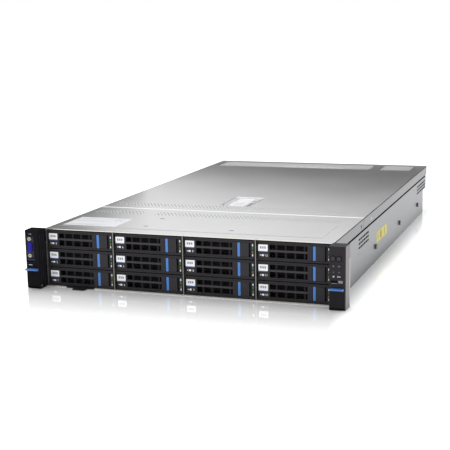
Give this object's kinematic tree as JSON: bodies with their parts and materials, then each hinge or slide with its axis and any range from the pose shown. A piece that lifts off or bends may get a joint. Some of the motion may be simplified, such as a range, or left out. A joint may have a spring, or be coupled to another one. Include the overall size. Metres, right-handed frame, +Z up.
{
  "type": "rack disk shelf chassis",
  "caption": "Flat rack chassis with a front cage of pull-out drive carriers, sliding rear cover, inner fan wall and plug-in power supplies.",
  "frame": {"origin": "underside, midway across the width and midway along the whole length", "axes": "+X to the right seen from the front, +Y to the rear, +Z up"},
  "size_m": [0.4826, 0.823, 0.0875],
  "materials": {
    "chassis_steel": "satin zinc-plated sheet",
    "cover_steel": "satin sheet",
    "stud_steel": "dark plated",
    "ear_plastic": "fine moulded texture",
    "carrier_plastic": "fine moulded texture",
    "lever_plastic": "fine moulded texture",
    "button_plastic": "smooth satin",
    "grip_blue": "blue moulded",
    "port_blue": "blue insert",
    "latch_plastic": "satin grey",
    "knob_plastic": "satin black",
    "tag_plastic": "smooth black",
    "fan_plastic": "black moulded",
    "board": "green board with metal parts",
    "supply_metal": "plated case",
    "label_paper": "printed film",
    "lamp_clear": "light guide"
  },
  "bodies": {
    "chassis": {"base_tray": "chassis_steel", "rail_studs": "stud_steel", "drive_cage": "chassis_steel", "front_cover": "cover_steel", "ear_left": "ear_plastic", "ear_right": "ear_plastic", "front_ports": "port_blue", "backplane": "board", "fan_wall": "fan_plastic", "main_board": "board", "rear_panel": "chassis_steel"},
    "carrier_01": {"carrier_01": "carrier_plastic"},
    "lever_01": {"lever_01": "lever_plastic"},
    "button_01": {"button_01": "button_plastic"},
    "carrier_02": {"carrier_02": "carrier_plastic"},
    "lever_02": {"lever_02": "lever_plastic"},
    "button_02": {"button_02": "button_plastic"},
    "carrier_03": {"carrier_03": "carrier_plastic"},
    "lever_03": {"lever_03": "lever_plastic"},
    "button_03": {"button_03": "button_plastic"},
    "carrier_04": {"carrier_04": "carrier_plastic"},
    "lever_04": {"lever_04": "lever_plastic"},
    "button_04": {"button_04": "button_plastic"},
    "carrier_05": {"carrier_05": "carrier_plastic"},
    "lever_05": {"lever_05": "lever_plastic"},
    "button_05": {"button_05": "button_plastic"},
    "carrier_06": {"carrier_06": "carrier_plastic"},
    "lever_06": {"lever_06": "lever_plastic"},
    "button_06": {"button_06": "button_plastic"},
    "carrier_07": {"carrier_07": "carrier_plastic"},
    "lever_07": {"lever_07": "lever_plastic"},
    "button_07": {"button_07": "button_plastic"},
    "carrier_08": {"carrier_08": "carrier_plastic"},
    "lever_08": {"lever_08": "lever_plastic"},
    "button_08": {"button_08": "button_plastic"},
    "carrier_09": {"carrier_09": "carrier_plastic"},
    "lever_09": {"lever_09": "lever_plastic"},
    "button_09": {"button_09": "button_plastic"},
    "carrier_10": {"carrier_10": "carrier_plastic"},
    "lever_10": {"lever_10": "lever_plastic"},
    "button_10": {"button_10": "button_plastic"},
    "carrier_11": {"carrier_11": "carrier_plastic"},
    "lever_11": {"lever_11": "lever_plastic"},
    "button_11": {"button_11": "button_plastic"},
    "carrier_12": {"carrier_12": "carrier_plastic"},
    "lever_12": {"lever_12": "lever_plastic"},
    "button_12": {"button_12": "button_plastic"},
    "rear_cover": {"rear_cover": "cover_steel"},
    "cover_latch": {"cover_latch": "latch_plastic"},
    "ear_lever_left": {"ear_lever_left": "ear_plastic"},
    "ear_lever_right": {"ear_lever_right": "ear_plastic"},
    "power_button": {"power_button": "knob_plastic"},
    "locate_button": {"locate_button": "knob_plastic"},
    "pull_tag": {"pull_tag": "tag_plastic"},
    "fan_rotor_1": {"fan_rotor_1": "fan_plastic"},
    "fan_rotor_2": {"fan_rotor_2": "fan_plastic"},
    "fan_rotor_3": {"fan_rotor_3": "fan_plastic"},
    "fan_rotor_4": {"fan_rotor_4": "fan_plastic"},
    "power_supply_1": {"power_supply_1": "supply_metal"},
    "power_supply_2": {"power_supply_2": "supply_metal"}
  },
  "joints": [
    {"name": "rear_cover_slide", "type": "slide", "parent": "chassis", "child": "rear_cover", "axis": [0, 1, 0], "range_m": [0, 0.015]},
    {"name": "cover_latch_lift", "type": "hinge", "parent": "rear_cover", "child": "cover_latch", "pos_m": [-0.0075, -0.0605, 0.0844], "axis": [-1, 0, 0], "range_deg": [0, 80]},
    {"name": "ear_lever_left_flip", "type": "hinge", "parent": "chassis", "child": "ear_lever_left", "pos_m": [-0.22925, -0.4005, 0.0048], "axis": [1, 0, 0], "range_deg": [0, 70]},
    {"name": "ear_lever_right_flip", "type": "hinge", "parent": "chassis", "child": "ear_lever_right", "pos_m": [0.22925, -0.4005, 0.0048], "axis": [1, 0, 0], "range_deg": [0, 70]},
    {"name": "power_button_push", "type": "slide", "parent": "chassis", "child": "power_button", "axis": [0, 1, 0], "range_m": [0, 0.0015], "stiffness_N_per_m": 300},
    {"name": "locate_button_push", "type": "slide", "parent": "chassis", "child": "locate_button", "axis": [0, 1, 0], "range_m": [0, 0.0015], "stiffness_N_per_m": 300},
    {"name": "pull_tag_slide", "type": "slide", "parent": "chassis", "child": "pull_tag", "axis": [0, -1, 0], "range_m": [0, 0.05]},
    {"name": "fan_rotor_1_spin", "type": "hinge", "parent": "chassis", "child": "fan_rotor_1", "pos_m": [-0.156, -0.1675, 0.0412], "axis": [0, 1, 0], "continuous": true},
    {"name": "fan_rotor_2_spin", "type": "hinge", "parent": "chassis", "child": "fan_rotor_2", "pos_m": [-0.052, -0.1675, 0.0412], "axis": [0, 1, 0], "continuous": true},
    {"name": "fan_rotor_3_spin", "type": "hinge", "parent": "chassis", "child": "fan_rotor_3", "pos_m": [0.052, -0.1675, 0.0412], "axis": [0, 1, 0], "continuous": true},
    {"name": "fan_rotor_4_spin", "type": "hinge", "parent": "chassis", "child": "fan_rotor_4", "pos_m": [0.156, -0.1675, 0.0412], "axis": [0, 1, 0], "continuous": true},
    {"name": "power_supply_1_slide", "type": "slide", "parent": "chassis", "child": "power_supply_1", "axis": [0, 1, 0], "range_m": [0, 0.19]},
    {"name": "power_supply_2_slide", "type": "slide", "parent": "chassis", "child": "power_supply_2", "axis": [0, 1, 0], "range_m": [0, 0.19]},
    {"name": "carrier_01_slide", "type": "slide", "parent": "chassis", "child": "carrier_01", "axis": [0, -1, 0], "range_m": [0, 0.175]},
    {"name": "lever_01_swing", "type": "hinge", "parent": "carrier_01", "child": "lever_01", "pos_m": [-0.2117, -0.3763, 0.01495], "axis": [0, 0, -1], "range_deg": [0, 50]},
    {"name": "button_01_push", "type": "slide", "parent": "carrier_01", "child": "button_01", "axis": [1, 0, 0], "range_m": [0, 0.002], "stiffness_N_per_m": 400},
    {"name": "carrier_02_slide", "type": "slide", "parent": "chassis", "child": "carrier_02", "axis": [0, -1, 0], "range_m": [0, 0.175]},
    {"name": "lever_02_swing", "type": "hinge", "parent": "carrier_02", "child": "lever_02", "pos_m": [-0.2117, -0.3763, 0.04305], "axis": [0, 0, -1], "range_deg": [0, 50]},
    {"name": "button_02_push", "type": "slide", "parent": "carrier_02", "child": "button_02", "axis": [1, 0, 0], "range_m": [0, 0.002], "stiffness_N_per_m": 400},
    {"name": "carrier_03_slide", "type": "slide", "parent": "chassis", "child": "carrier_03", "axis": [0, -1, 0], "range_m": [0, 0.175]},
    {"name": "lever_03_swing", "type": "hinge", "parent": "carrier_03", "child": "lever_03", "pos_m": [-0.2117, -0.3763, 0.07115], "axis": [0, 0, -1], "range_deg": [0, 50]},
    {"name": "button_03_push", "type": "slide", "parent": "carrier_03", "child": "button_03", "axis": [1, 0, 0], "range_m": [0, 0.002], "stiffness_N_per_m": 400},
    {"name": "carrier_04_slide", "type": "slide", "parent": "chassis", "child": "carrier_04", "axis": [0, -1, 0], "range_m": [0, 0.175]},
    {"name": "lever_04_swing", "type": "hinge", "parent": "carrier_04", "child": "lever_04", "pos_m": [-0.1034, -0.3763, 0.01495], "axis": [0, 0, -1], "range_deg": [0, 50]},
    {"name": "button_04_push", "type": "slide", "parent": "carrier_04", "child": "button_04", "axis": [1, 0, 0], "range_m": [0, 0.002], "stiffness_N_per_m": 400},
    {"name": "carrier_05_slide", "type": "slide", "parent": "chassis", "child": "carrier_05", "axis": [0, -1, 0], "range_m": [0, 0.175]},
    {"name": "lever_05_swing", "type": "hinge", "parent": "carrier_05", "child": "lever_05", "pos_m": [-0.1034, -0.3763, 0.04305], "axis": [0, 0, -1], "range_deg": [0, 50]},
    {"name": "button_05_push", "type": "slide", "parent": "carrier_05", "child": "button_05", "axis": [1, 0, 0], "range_m": [0, 0.002], "stiffness_N_per_m": 400},
    {"name": "carrier_06_slide", "type": "slide", "parent": "chassis", "child": "carrier_06", "axis": [0, -1, 0], "range_m": [0, 0.175]},
    {"name": "lever_06_swing", "type": "hinge", "parent": "carrier_06", "child": "lever_06", "pos_m": [-0.1034, -0.3763, 0.07115], "axis": [0, 0, -1], "range_deg": [0, 50]},
    {"name": "button_06_push", "type": "slide", "parent": "carrier_06", "child": "button_06", "axis": [1, 0, 0], "range_m": [0, 0.002], "stiffness_N_per_m": 400},
    {"name": "carrier_07_slide", "type": "slide", "parent": "chassis", "child": "carrier_07", "axis": [0, -1, 0], "range_m": [0, 0.175]},
    {"name": "lever_07_swing", "type": "hinge", "parent": "carrier_07", "child": "lever_07", "pos_m": [0.0049, -0.3763, 0.01495], "axis": [0, 0, -1], "range_deg": [0, 50]},
    {"name": "button_07_push", "type": "slide", "parent": "carrier_07", "child": "button_07", "axis": [1, 0, 0], "range_m": [0, 0.002], "stiffness_N_per_m": 400},
    {"name": "carrier_08_slide", "type": "slide", "parent": "chassis", "child": "carrier_08", "axis": [0, -1, 0], "range_m": [0, 0.175]},
    {"name": "lever_08_swing", "type": "hinge", "parent": "carrier_08", "child": "lever_08", "pos_m": [0.0049, -0.3763, 0.04305], "axis": [0, 0, -1], "range_deg": [0, 50]},
    {"name": "button_08_push", "type": "slide", "parent": "carrier_08", "child": "button_08", "axis": [1, 0, 0], "range_m": [0, 0.002], "stiffness_N_per_m": 400},
    {"name": "carrier_09_slide", "type": "slide", "parent": "chassis", "child": "carrier_09", "axis": [0, -1, 0], "range_m": [0, 0.175]},
    {"name": "lever_09_swing", "type": "hinge", "parent": "carrier_09", "child": "lever_09", "pos_m": [0.0049, -0.3763, 0.07115], "axis": [0, 0, -1], "range_deg": [0, 50]},
    {"name": "button_09_push", "type": "slide", "parent": "carrier_09", "child": "button_09", "axis": [1, 0, 0], "range_m": [0, 0.002], "stiffness_N_per_m": 400},
    {"name": "carrier_10_slide", "type": "slide", "parent": "chassis", "child": "carrier_10", "axis": [0, -1, 0], "range_m": [0, 0.175]},
    {"name": "lever_10_swing", "type": "hinge", "parent": "carrier_10", "child": "lever_10", "pos_m": [0.1132, -0.3763, 0.01495], "axis": [0, 0, -1], "range_deg": [0, 50]},
    {"name": "button_10_push", "type": "slide", "parent": "carrier_10", "child": "button_10", "axis": [1, 0, 0], "range_m": [0, 0.002], "stiffness_N_per_m": 400},
    {"name": "carrier_11_slide", "type": "slide", "parent": "chassis", "child": "carrier_11", "axis": [0, -1, 0], "range_m": [0, 0.175]},
    {"name": "lever_11_swing", "type": "hinge", "parent": "carrier_11", "child": "lever_11", "pos_m": [0.1132, -0.3763, 0.04305], "axis": [0, 0, -1], "range_deg": [0, 50]},
    {"name": "button_11_push", "type": "slide", "parent": "carrier_11", "child": "button_11", "axis": [1, 0, 0], "range_m": [0, 0.002], "stiffness_N_per_m": 400},
    {"name": "carrier_12_slide", "type": "slide", "parent": "chassis", "child": "carrier_12", "axis": [0, -1, 0], "range_m": [0, 0.175]},
    {"name": "lever_12_swing", "type": "hinge", "parent": "carrier_12", "child": "lever_12", "pos_m": [0.1132, -0.3763, 0.07115], "axis": [0, 0, -1], "range_deg": [0, 50]},
    {"name": "button_12_push", "type": "slide", "parent": "carrier_12", "child": "button_12", "axis": [1, 0, 0], "range_m": [0, 0.002], "stiffness_N_per_m": 400}
  ],
  "couplings": [
    {"joint": "cover_latch_lift", "follows": "rear_cover_slide", "rad_per_m": 93.075}
  ]
}
